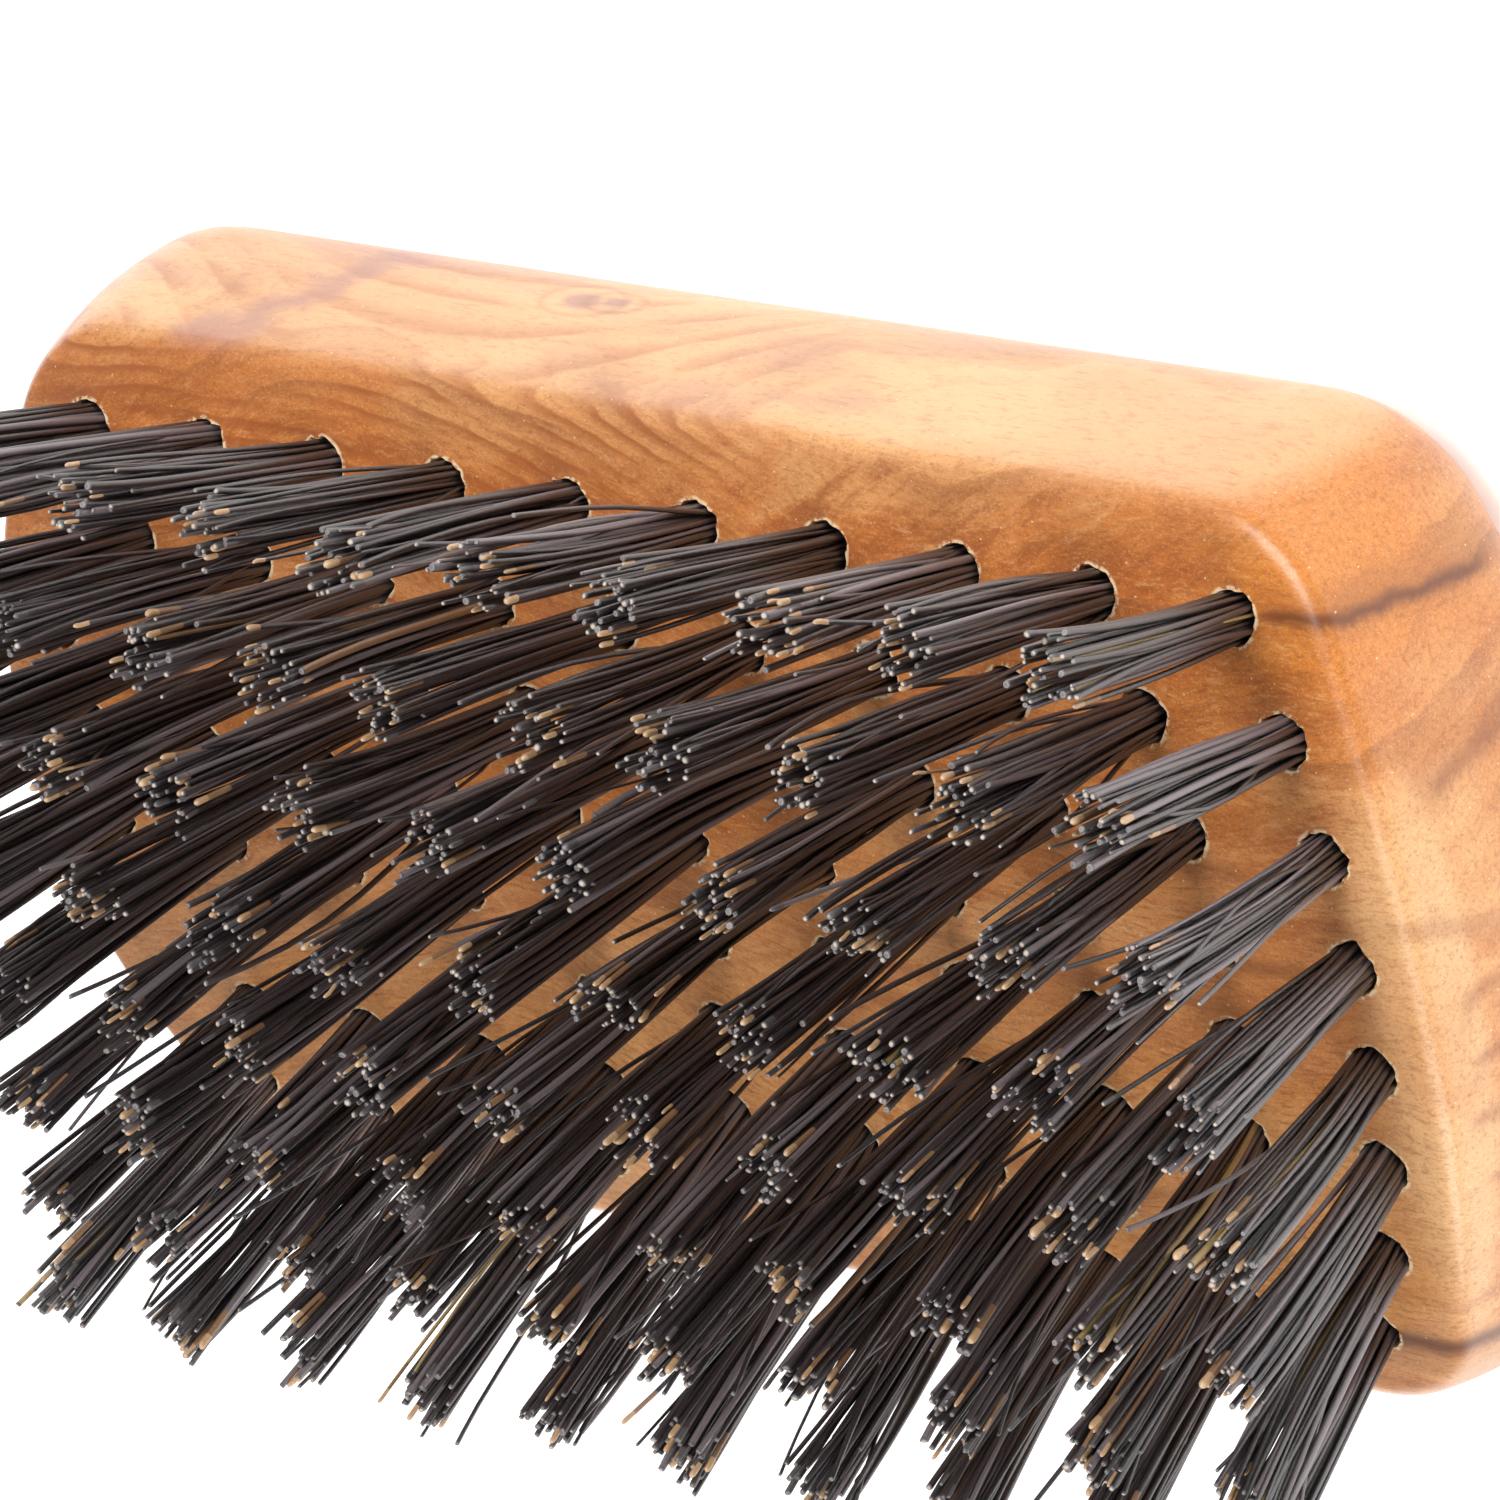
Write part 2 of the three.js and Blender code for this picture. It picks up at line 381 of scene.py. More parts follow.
def fibres_and_grit(w):
    """Fibres and vessels that run along the block, and the coarse and fine speckle between them."""
    w.tint(w.fibre.above(0.50, 0.68) * (w.face * 0.34 + 0.30), RUSSET)
    w.tint(w.fibre.above(0.47, 0.30) * (w.face * 0.22 + 0.30), PALE)
    w.tint(w.vessel.above(0.64, 0.74) * 0.38, BROWN)
    w.tint(w.mottle.above(0.48, 0.72) * (0.44 - w.long_wall * 0.32), BROWN)
    grit = w.pattern((7.0, 10.0, 10.0), (0.0, 0.0, 0.0), 3.0, 0.7)
    w.tint(grit.above(0.52, 0.70) * (0.34 - w.long_wall * 0.26), BROWN)
    w.tint(grit.above(0.45, 0.30) * (0.26 - w.long_wall * 0.16), CREAM)
    w.tint(w.mottle.above(0.46, 0.25) * 0.30, PALE)


def streaks(w):
    """Dark streaks. Each is a sheet across y: where it lies at the level height, its lean with z, its
    half width, how dark it is, and the range of x and of z that it shows in."""
    level_height = 12.0
    past_end, above_face = 60.0, 20.0
    sheets = (
        (17.1, 0.13, 0.36, 0.90, 33.0, past_end, 3.0, above_face),
        (17.4, 0.10, 1.10, 0.42, 33.0, past_end, 1.0, above_face),
        (9.6, -0.10, 0.38, 0.50, 37.6, past_end, 0.0, 12.0),
        (10.2, -0.10, 1.20, 0.26, 37.6, past_end, 0.0, 13.0),
        (0.5, -0.12, 0.50, 0.46, 39.0, past_end, 1.0, 13.6),
        (3.5, 0.35, 0.60, 0.36, 38.0, past_end, 4.0, 15.5),
        (-2.3, 0.12, 0.40, 0.50, 38.5, past_end, 0.0, 13.4),
        (-5.2, 0.16, 0.45, 0.46, 38.5, past_end, 0.0, 13.8),
        (-8.4, 0.10, 0.35, 0.38, 37.5, past_end, 0.0, 13.0),
        (-17.1, -0.05, 0.55, 0.90, 31.0, past_end, 2.0, above_face),
        (-17.6, -0.05, 1.40, 0.32, 29.0, past_end, 0.0, above_face),
        (1.7, 0.0, 0.45, 0.55, 26.0, 37.5, 13.0, above_face),
        (-0.6, 0.0, 0.50, 0.42, 22.0, 36.0, 13.0, above_face),
        (5.9, 0.0, 0.45, 0.40, 21.0, 33.0, 13.0, above_face),
        (-3.9, 0.0, 0.60, 0.45, 4.0, 17.0, 13.0, above_face),
        (9.2, 0.0, 0.55, 0.36, -6.0, 9.0, 13.0, above_face),
        (-11.5, 0.0, 0.55, 0.45, 12.0, 30.0, 12.0, above_face),
        (18.6, 0.0, 0.50, 0.55, -10.0, 3.0, 12.0, above_face),
    )
    edge = w.waver * 1.3 + (w.fibre - 0.5) * 0.30
    for level, lean, half, strength, x0, x1, z0, z1 in sheets:
        across = w.y - (w.z - level_height) * lean + edge
        core = across.near(level, half * 1.7)
        along = w.x.above(x0, x0 + 2.0) * w.x.above(x1, x1 - 2.0)
        tall = w.z.above(z0, z0 + 2.0) * w.z.above(z1, z1 - 1.0)
        w.tint(core * along * tall * strength, DARK if strength > 0.6 else BROWN)


def arches(w):
    """Arched rings left of the middle: wide ones on the long wall, and close nested ones on the face."""
    bowed = w.y + w.z * 0.9 + w.away * w.away * 0.0165 + w.waver * 0.8
    bow = (bowed * (1 / 1.9)).fract()
    bow_line = bow.above(0.35, 0.88) * bow.above(1.0, 0.88) * (w.long_wall * 0.65)
    crest = w.x + 24.0
    nested = ((w.y + w.z * 0.4 + crest * crest * 0.0065 + w.waver * 1.1) * (1 / 0.78)).fract()
    nested_line = nested.above(0.25, 0.85) * nested.above(1.0, 0.85) * (1.0 - w.long_wall)
    here = w.x.above(-39.0, -33.0) * w.x.above(12.0, 0.0) * w.y.above(15.0, 17.0)
    strong = w.pattern((0.10, 0.45, 0.45), (2.0, 9.0, 4.0), 2.0, 0.5).above(0.34, 0.56)
    w.tint((bow_line + nested_line * 1.25) * here * strong * 0.62, RUSSET)


def flush_and_knots(w):
    """A plum-coloured flush, a thin veil of it, and a small double knot on the long wall."""
    flush = (w.x + 22.0) + (w.z - 7.0) * 0.75 + w.waver * 9.0
    flush_here = flush.near(0.0, 2.6) * w.y.above(20.6, 21.6) * w.z.above(1.0, 3.0)
    w.tint(flush_here * 0.62, PLUM)
    veil = w.pattern((0.07, 0.3, 0.22), (8.0, 3.0, 6.0), 3.0, 0.6)
    w.tint(veil.above(0.52, 0.68) * w.y.above(20.8, 22.0) * 0.34, PLUM)
    on_wall = w.y.above(20.0, 21.5)
    for knot_x, knot_z, radius in ((-7.7, 5.1, 0.75), (-6.0, 4.9, 0.5)):
        along, up = w.x - knot_x, w.z - knot_z
        far = (along * along * 0.45 + up * up * 1.3).root()
        w.tint((far + w.waver * 1.6).above(radius, radius * 0.35) * on_wall * 0.72, PLUM)
        w.tint((far + w.waver).near(radius * 1.9, 0.3) * on_wall * 0.25, BROWN)


def pores_and_mouths(w):
    """Pale dust in the pores, torn pale fibre at the mouths of the holes, and painted shade darkening the
    walls down the holes.
    Gives how torn and how deep in a hole the place is."""
    far, pick = w.cells(w.scaled(w.here, (1.7, 1.7, 1.7)))
    speck = far.above(0.10, 0.06) * pick.above(0.55, 0.57)
    w.tint(speck * 0.62, CREAM)
    torn = w.pattern((2.6, 2.6, 2.6), (0.0, 0.0, 0.0), 3.0, 0.7)
    raw = w.attribute("rim").above(0.25, 0.80) * torn.above(0.43, 0.55)
    w.tint(raw * 0.85, CREAM)
    shaded_hole_depth = w.attribute("hole")
    # Painted shade: the walls of the holes darken with depth.
    w.tint(shaded_hole_depth * 0.8, BROWN)
    return raw, shaded_hole_depth


def olive_wood():
    """Oiled olive wood: honey ground, meandering growth rings, a few near-black streaks, fine fibre."""
    w = Wood()
    patchy_ground(w)
    face_figure(w)
    # Painted light at the +X +Y corner and on the long +Y wall.
    painted_wall_light(w)
    growth_rings(w)
    fibres_and_grit(w)
    streaks(w)
    arches(w)
    flush_and_knots(w)
    # Includes painted shade down the holes.
    raw, shaded_hole_depth = pores_and_mouths(w)
    w.set("Base Color", w.colour)
    w.set("Roughness", (w.fibre * 0.16 + w.mottle * 0.12 + raw * 0.3 + shaded_hole_depth * 0.4 + 0.20).at_most(0.9))
    w.set("Coat Weight", 0.35)
    w.set("Coat Roughness", 0.22)
    w.set("Specular IOR Level", 0.45)
    w.bump(w.fibre * 0.5 + w.vessel * -0.35 + w.mottle * 0.25 + raw * 1.5, 0.035, 0.5)
    return w.material


def bristle(name, colour, roughness):
    """One tone of boar bristle, with the scaly skin of a hair."""
    s = Shade(name, colour, roughness)
    skin = s.noise(s.scaled(s.place(), (13.0, 13.0, 4.5)), 3.0, 0.65)
    s.set("Specular IOR Level", 1.0)
    s.set("IOR", 1.62)
    s.bump(skin, 0.035, 0.9)
    return s.material


def anchor_steel():
    """Drawn flat wire, with fine marks along it."""
    s = Shade("anchor_steel", (0.60, 0.59, 0.56), 0.32)
    drawn = s.noise(s.scaled(s.place(), (14.0, 1.5, 14.0)), 3.0, 0.6)
    s.set("Metallic", 1.0)
    s.bump(drawn, 0.01, 0.5)
    return s.material


def floor_paint():
    s = Shade("floor_paint", (0.93, 0.93, 0.93), 0.9)
    s.set("Specular IOR Level", 0.1)
    s.set("Emission Color", (1.0, 1.0, 1.0, 1.0))
    s.set("Emission Strength", 0.45)
    return s.material


# ---------------------------------------------------------------- meshes


def make_piece(name, vertices, faces, materials, indices=None, smooth=True, fields=()):
    """A mesh object from points in millimetres. fields are numbers for each point, by name."""
    mesh = bpy.data.meshes.new(name)
    mesh.from_pydata(np.asarray(vertices, float) * MM, [], faces)
    for material in materials:
        mesh.materials.append(material)
    if indices is not None:
        mesh.polygons.foreach_set("material_index", np.asarray(indices, np.int32))
    if smooth:
        mesh.polygons.foreach_set("use_smooth", np.ones(len(mesh.polygons), bool))
    for label, values in fields:
        field = mesh.attributes.new(label, "FLOAT", "POINT")
        field.data.foreach_set("value", np.asarray(values, np.float32))
    mesh.validate()
    mesh.update()
    piece = bpy.data.objects.new(name, mesh)
    bpy.context.scene.collection.objects.link(piece)
    return piece


def outline(offset):
    """The body's plan, moved out by offset, anticlockwise from the middle of the +X end."""
    end = END_RADIUS + offset
    corner = CORNER_RADIUS + offset
    end_centre = FACE_HALF_LENGTH - END_RADIUS
    corner_y = FACE_HALF_WIDTH - CORNER_RADIUS
    turn = math.asin(corner_y / (END_RADIUS - CORNER_RADIUS))
    corner_x = end_centre + (END_RADIUS - CORNER_RADIUS) * math.cos(turn)
    quarter = [(end_centre + end * math.cos(t), end * math.sin(t)) for t in np.linspace(0, turn, 27)]
    for t in np.linspace(turn, math.pi / 2, 17)[1:]:
        quarter.append((corner_x + corner * math.cos(t), corner_y + corner * math.sin(t)))
    for share in np.linspace(1, 0, 19)[1:]:
        quarter.append((corner_x * share, FACE_HALF_WIDTH + offset))
    q = np.array(quarter)
    return np.vstack((q, (q * (-1, 1))[-2::-1], (q * (-1, -1))[1:], (q * (1, -1))[-2:0:-1]))


def wall_rings():
    """The rings of points up the wall, from the back's edge to the face's edge. Each is set by how far
    out it is, its fixed height, and its share of the face's height."""
    rings = []
    for t in np.linspace(0, math.pi / 2, 10):
        out = WALL_INSET - BACK_EDGE_RADIUS * (1 - math.sin(t))
        rings.append((out, BACK_EDGE_RADIUS * (1 - math.cos(t)), 0.0))
    edge_starts = 0.9
    for share in (0.0, 0.12, 0.25, 0.38, 0.5, 0.62, 0.74, 0.84, edge_starts):
        rings.append((WALL_INSET * (1 - share * share), PLUMB_HEIGHT * (1 - share), share))
    start, below = WALL_INSET * (1 - edge_starts**2), 0.1
    for t in np.linspace(0, 1, 8)[1:]:
        left = below * (1 - t) ** 2
        rings.append(((1 - t) ** 2 * start - t * t * FACE_EDGE_RADIUS, PLUMB_HEIGHT * left, 1 - left))
    made = []
    for offset, height, share in rings:
        plan = outline(offset)
        made.append(np.column_stack((plan, height + share * face_height(plan[:, 1]))))
    return made


def tufts():
    """(row, number, mouth, axis) for each tuft; row 1 is on the +Y side and number 1 at the +X end."""
    made = []
    first_outer = FACE_HALF_LENGTH - END_MARGIN - sagitta(TUFT_ARC_RADIUS, OUTER_ROW_Y)
    pitch_outer = 2 * first_outer / (TUFTS_IN_ROW[0] - 1)
    for row, count in enumerate(TUFTS_IN_ROW):
        y = OUTER_ROW_Y * (1 - 2 * row / (len(TUFTS_IN_ROW) - 1))
        first = FACE_HALF_LENGTH - END_MARGIN - sagitta(TUFT_ARC_RADIUS, y)
        pitch = min(pitch_outer, 2 * first / (count - 1))
        for number in range(count):
            x = first - number * pitch
            mouth = np.array((x, y, float(face_height(y))))
            axis = unit(np.array((x / FAN_RADIUS_ALONG, y / FAN_RADIUS_ACROSS, 1.0)))
            made.append((row + 1, number + 1, mouth, axis))
    return made


def sides(axis):
    """Two directions square to an axis: along the rows, and across them."""
    along = unit(np.array((1.0, 0.0, 0.0)) - axis[0] * axis)
    return along, np.cross(axis, along)


def grid_inside(boundary, loops, spacing, inside_by, clear):
    """Staggered points inside a convex boundary, clear of it and of the round loops."""
    xs = np.arange(boundary[:, 0].min(), boundary[:, 0].max(), spacing)
    ys = np.arange(boundary[:, 1].min(), boundary[:, 1].max(), spacing * 0.87)
    grid = np.array([(x + spacing / 2 * (j % 2), y) for j, y in enumerate(ys) for x in xs])
    edge = np.roll(boundary, -1, axis=0) - boundary
    normal = np.column_stack((-edge[:, 1], edge[:, 0])) / np.linalg.norm(edge, axis=1)[:, None]
    depth = ((grid[:, None, :] - boundary[None]) * normal[None]).sum(2).min(1)
    keep = depth > inside_by
    for loop in loops:
        centre = loop.mean(0)
        reach = np.linalg.norm(loop - centre, axis=1).max()
        keep &= np.linalg.norm(grid - centre, axis=1) > reach + clear
    return grid[keep]


def fill(boundary, loops, spacing, inside_by, clear):
    """Triangles between a convex boundary and round loops, over a grid of points. Gives the points
    (boundary, loops, then grid) and the faces."""
    points = [tuple(p) for p in boundary]
    constraints = [(i, (i + 1) % len(boundary)) for i in range(len(boundary))]
    owner = [-1] * len(boundary)
    for number, loop in enumerate(loops):
        start = len(points)
        points += [tuple(p) for p in loop]
        owner += [number] * len(loop)
        constraints += [(start + i, start + (i + 1) % len(loop)) for i in range(len(loop))]
    grid = grid_inside(boundary, loops, spacing, inside_by, clear)
    points += [tuple(p) for p in grid]
    owner += [-1] * len(grid)
    made = delaunay_2d_cdt([Vector(p) for p in points], constraints, [], 0, 1e-6, True)
    source = [ids[0] for ids in made[3]]
    faces = []
    for face in made[2]:
        a, b, c = (source[i] for i in face)
        if owner[a] >= 0 and owner[a] == owner[b] == owner[c]:
            continue
        (ax, ay), (bx, by), (cx, cy) = points[a], points[b], points[c]
        turn = (bx - ax) * (cy - ay) - (by - ay) * (cx - ax)
        faces.append((a, b, c) if turn > 0 else (a, c, b))
    return np.array(points), faces


def ragged(rng, turn):
    """How far the mouth of a hole strays from its circle at each turn: waves, grain and a few chips."""
    waves = (3, 5, 7, 11, 13)
    wander = sum(rng.normal(0, 0.016) * np.cos(k * turn + rng.uniform(0, 6.3)) for k in waves)
    wander += rng.normal(0, 0.016, len(turn))
    for _ in range(rng.integers(2, 5)):
        off = np.abs((turn - rng.uniform(0, ANY_TURN) + math.pi) % (2 * math.pi) - math.pi)
        wander += rng.uniform(0.08, 0.22) * np.clip(1 - off / rng.uniform(0.2, 0.4), 0, 1)
    return wander


def hole_rings(mouth, axis, rng):
    """The rings of points of one drilled hole from the face down, how torn and how deep each ring is,
    and the point at its bottom."""
    along, across = sides(axis)
    turn = np.linspace(0, 2 * math.pi, HOLE_SIDES, endpoint=False)
    wander = ragged(rng, turn)
    # How much wider than the hole, how ragged, how far down (None is on the face), how torn, how
    # far inside.
    profile = (
        (0.34, 0.0, None, 0.0, 0.0),
        (0.17, 0.5, None, 0.55, 0.0),
        (0.03, 1.0, None, 1.0, 0.0),
        (-0.01, 0.8, 0.10, 1.0, 0.1),
        (-0.02, 0.3, 0.40, 0.5, 0.6),
        (0.0, 0.0, 1.20, 0.0, 1.0),
        (0.0, 0.0, 3.60, 0.0, 1.0),
        (0.0, 0.0, HOLE_DEPTH, 0.0, 1.0),
    )
    rings, torn, deep = [], [], []
    for extra, rough, down, tear, hole in profile:
        radius = HOLE_RADIUS + extra + rough * wander
        round_it = np.cos(turn)[:, None] * along + np.sin(turn)[:, None] * across
        ring = mouth + radius[:, None] * round_it
        for _ in range(3):
            ring = ring + ((face_height(ring[:, 1]) - ring[:, 2]) / axis[2])[:, None] * axis
        if down is not None:
            ring = ring - down * axis
        rings.append(ring)
        torn.append(np.full(HOLE_SIDES, tear))
        deep.append(np.full(HOLE_SIDES, hole))
    return rings, torn, deep, mouth - (HOLE_DEPTH + HOLE_TIP) * axis


def band(low, high, count):
    """The faces between a ring of count points that starts at low and one that starts at high."""
    faces = []
    for k in range(count):
        after = (k + 1) % count
        faces.append((low + k, low + after, high + after, high + k))
    return faces


def wood_body(material):
    """The whole block as one closed skin: back, rounded wall, crowned face and 84 drilled holes."""
    rng = np.random.default_rng(SEED)
    rings = wall_rings()
    count = len(rings[0])
    points = list(rings)
    faces = []
    for level in range(len(rings) - 1):
        faces += band(level * count, (level + 1) * count, count)
    top = (len(rings) - 1) * count
    total = len(rings) * count

    plan, made = fill(rings[0][:, :2], [], spacing=2.6, inside_by=1.2, clear=0.0)
    for a, b, c in made:
        faces.append(tuple(i if i < count else total + i - count for i in (a, c, b)))
    back = plan[count:]
    points.append(np.column_stack((back, np.zeros(len(back)))))
    total += len(back)

    holes = [hole_rings(mouth, axis, rng) for _, _, mouth, axis in tufts()]
    mouths = [hole[0][0][:, :2] for hole in holes]
    plan, made = fill(rings[-1][:, :2], mouths, spacing=0.9, inside_by=0.5, clear=0.35)
    for abc in made:
        faces.append(tuple(top + i if i < count else total + i - count for i in abc))
    crown = plan[count:]
    points.append(np.column_stack((crown, face_height(crown[:, 1]))))
    first_mouth = total
    total += len(crown)
    torn = [np.zeros(total)]
    deep = [np.zeros(total)]

    for number, (hole, tear, hollow, bottom) in enumerate(holes):
        upper = first_mouth + number * HOLE_SIDES
        for ring in hole[1:]:
            faces += band(upper, total, HOLE_SIDES)
            upper = total
            total += HOLE_SIDES
        faces += [(upper + k, upper + (k + 1) % HOLE_SIDES, total) for k in range(HOLE_SIDES)]
        total += 1
        points += hole[1:] + [bottom[None]]
        torn += tear[1:] + [np.zeros(1)]
        deep += hollow[1:] + [np.ones(1)]
    fields = (("rim", np.concatenate(torn)), ("hole", np.concatenate(deep)))
    body = make_piece("olive_wood_body", np.vstack(points), faces, [material], fields=fields)
    body.data.set_sharp_from_angle(angle=WOOD_SHARP_ANGLE)
    return body


def scatter(rng, count, reach):
    """count points spread evenly in a disc, by letting them push each other apart."""
    step = np.arange(count) + 0.5
    radius = reach * np.sqrt(step / count)
    turn = step * GOLDEN_ANGLE + rng.uniform(0, ANY_TURN)
    at = np.column_stack((radius * np.cos(turn), radius * np.sin(turn)))
    at += rng.normal(0, 0.05, at.shape)
    for _ in range(25):
        gap = at[:, None] - at[None]
        far = np.linalg.norm(gap, axis=2) + np.eye(count)
        push = np.clip(PACKED_GAP - far, 0, None) / far * 0.3
        at += (gap * push[..., None]).sum(1)
        size = np.linalg.norm(at, axis=1)
        at *= np.minimum(1, reach / np.maximum(size, 1e-9))[:, None]
    return at


def tube_faces(count, rings, sides_count):
    """Faces of count tubes of rings, closed at both ends, whose points lie one ring after another."""
    ring = np.arange(sides_count)
    after = (ring + 1) % sides_count
    faces = []
    for tube in range(count):
        base = tube * rings * sides_count
        for level in range(rings - 1):
            low = base + level * sides_count
            high = low + sides_count
            faces += np.column_stack((low + ring, low + after, high + after, high + ring)).tolist()
        faces.append((base + ring[::-1]).tolist())
        faces.append((base + (rings - 1) * sides_count + ring).tolist())
    return faces


class Tuft:
    """The bristles of one tuft in its own axes: along the rows, across them, and up from the mouth.
    A folded bristle is two legs. All the first legs are listed before all the second ones."""

    # Shares of a leg's length, then depths in the hole, from below the cut end down to the fold.
    SHARES = (0.955, 0.86, 0.72, 0.57, 0.42, 0.28, 0.14, 0.0)
    DEPTHS = (1.4, 3.2, 4.6, FOLD_DEPTH)
    # How far past the length each ring of an end is, and its share of the radius.
    CUT_END = ((0.045, 0.54), (0.045, 0.84), (0.0, 1.0), (-0.07, 1.03))
    ROUND_END = ((0.08, 0.42), (0.03, 0.80), (-0.07, 1.04), (-0.24, 1.06))
    FOLD_TURNS = (math.pi / 4, math.pi / 2, 3 * math.pi / 4)

    def __init__(self, rng, leans):
        self.rng = rng
        self.pack()
        self.fan_out()
        if leans:
            self.lean_on_next()
        self.rounded = rng.random(BRISTLE_ENDS) < 0.17

    def pack(self):
        """Where the legs stand in the hole, and how thick they are."""
        at = scatter(self.rng, BRISTLE_ENDS, PACKED_REACH)
        order = np.argsort(at[:, 0])
        left, right = order[:FOLDED_BRISTLES], order[FOLDED_BRISTLES:]
        left = left[np.argsort(at[left, 1])]
        right = right[np.argsort(at[right, 1])]
        self.legs = np.vstack((at[right], at[left]))
        radius = self.rng.normal(BRISTLE_RADIUS, BRISTLE_RADIUS_VARIES, FOLDED_BRISTLES)
        radius = np.clip(radius, THINNEST, THICKEST)
        self.radius = np.concatenate((radius, radius))

    def fan_out(self):
        """Where the legs end: spread, in a few clumps, with some short ones and some strays."""
        rng, legs, each = self.rng, self.legs, (BRISTLE_ENDS, 2)
        clumps = rng.integers(4, 7)
        clump_at = scatter(rng, clumps, 1.25)
        nearest = np.linalg.norm(legs[:, None] * 1.45 - clump_at[None], axis=2).argmin(1)
        tuft_lean = rng.normal(0, 0.22, 2)
        spread = legs * rng.uniform(1.55, 1.85)
        tip = spread + 0.30 * (clump_at[nearest] - spread) + tuft_lean + rng.normal(0, 0.21, each)
        bow = rng.normal(0, 0.13, each) + rng.normal(0, 0.10, 2)
        length = TUFT_LENGTH + rng.normal(0, 0.42, BRISTLE_ENDS) + rng.normal(0, 0.42, clumps)[nearest]
        short = rng.random(BRISTLE_ENDS) < 0.08
        self.length = np.where(short, length - rng.uniform(0.8, 3.5, BRISTLE_ENDS), length)
        stray = rng.random(BRISTLE_ENDS) < 0.07
        self.tip = np.where(stray[:, None], tip + rng.normal(0, 0.95, each), tip)
        self.bow = np.where(stray[:, None], rng.normal(0, 0.5, each), bow)
        self.wave = rng.normal(0, 0.06, each)
        self.radius = np.where(stray, self.radius * 0.78, self.radius)

    def lean_on_next(self):
        """Makes one leg a stray that ends on the next tuft of the row."""
        rng = self.rng
        leg = int(np.argmin(self.legs[:, 0]))
        self.tip[leg] = (-4.4 + rng.uniform(-0.4, 0.4), rng.uniform(-0.6, 0.6))
        self.bow[leg] = (rng.uniform(-0.5, 0.3), rng.uniform(-0.7, 0.7))
        self.length[leg] = TUFT_LENGTH - rng.uniform(0.6, 1.6)
        self.radius[leg] = 0.11

    def leg_stations(self):
        """The middle and the radius of every ring of every leg, from its end down to the fold."""
        legs, reach = self.legs, self.tip - self.legs
        where, thick = [], []
        for cut, rounded in zip(self.CUT_END, self.ROUND_END):
            height = self.length + np.where(self.rounded, rounded[0], cut[0])
            share = (height / self.length)[:, None]
            thick.append(self.radius * np.where(self.rounded, rounded[1], cut[1]))
            where.append(np.column_stack((legs + reach * share**1.25, height)))
        for share in self.SHARES:
            spot = legs + reach * share**1.25 + self.bow * math.sin(math.pi * share)
            spot = spot + self.wave * math.sin(2 * math.pi * share) * share
            thick.append(self.radius * (1.06 - 0.06 * share))
            where.append(np.column_stack((spot, self.length * share)))
        for down in self.DEPTHS:
            squeeze = min(max((down - self.DEPTHS[0]) / 3.0, 0.0), 1.0)
            apart = np.sign(legs[:, 0]) * (0.31 + np.abs(legs[:, 0]) * 0.66)
            along = legs[:, 0] + (apart - legs[:, 0]) * squeeze
            across = legs[:, 1] * (1 - 0.08 * squeeze)
            thick.append(self.radius * 0.94)
            where.append(np.column_stack((along, across, np.full(BRISTLE_ENDS, -down))))
        return np.stack(where, 1), np.stack(thick, 1)

    def folded_paths(self):
        """The path and the girth of each folded bristle, from one end round the anchor to the other."""
        where, thick = self.leg_stations()
        first, second = where[:FOLDED_BRISTLES], where[FOLDED_BRISTLES:]
        low_first, low_second = first[:, -1], second[:, -1]
        half = (low_first[:, 0] - low_second[:, 0]) / 2
        middle = (low_first + low_second) / 2
        fold = []
        for turn in self.FOLD_TURNS:
            across = (low_first + (low_second - low_first) * ((1 - math.cos(turn)) / 2))[:, 1]
            along = middle[:, 0] + half * math.cos(turn)
            fold.append(np.column_stack((along, across, -FOLD_DEPTH - half * math.sin(turn))))
        path = np.concatenate((first, np.stack(fold, 1), second[:, ::-1]), axis=1)
        bend = np.repeat(self.radius[:FOLDED_BRISTLES, None] * 0.9, len(self.FOLD_TURNS), 1)
        girth = np.concatenate((thick[:FOLDED_BRISTLES], bend, thick[FOLDED_BRISTLES:, ::-1]), axis=1)
        return path, girth

    def skin(self):
        """The points of the tubes, by bristle, ring and side. The cut ends slope a little."""
        path, girth = self.folded_paths()
        rings = path.shape[1]
        heading = np.gradient(path, axis=1)
        heading[:, 0] = heading[:, 4]
        heading[:, 1:4] = heading[:, 4:5]
        heading[:, -4:] = heading[:, -5:-4]
        heading /= np.linalg.norm(heading, axis=2, keepdims=True)
        wire = np.array((0.0, 1.0, 0.0))
        second = wire - (heading @ wire)[..., None] * heading
        second /= np.linalg.norm(second, axis=2, keepdims=True)
        first = np.cross(second, heading)
        turn = np.linspace(0, 2 * math.pi, BRISTLE_SIDES, endpoint=False)
        round_it = np.cos(turn)[None, None, :, None] * first[:, :, None]
        round_it = round_it + np.sin(turn)[None, None, :, None] * second[:, :, None]
        skin = path[:, :, None] + girth[:, :, None, None] * round_it
        slope = self.rng.uniform(0.0, 0.45, (FOLDED_BRISTLES, 2))
        facing = self.rng.uniform(0, ANY_TURN, (FOLDED_BRISTLES, 2))
        for side, levels in ((0, range(0, 3)), (1, range(rings - 3, rings))):
            for level in levels:
                tilt = np.cos(turn[None] - facing[:, side, None])
                rise = slope[:, side, None] * tilt * girth[:, level, None]
                skin[:, level] += rise[..., None] * heading[:, level][:, None]
        return skin

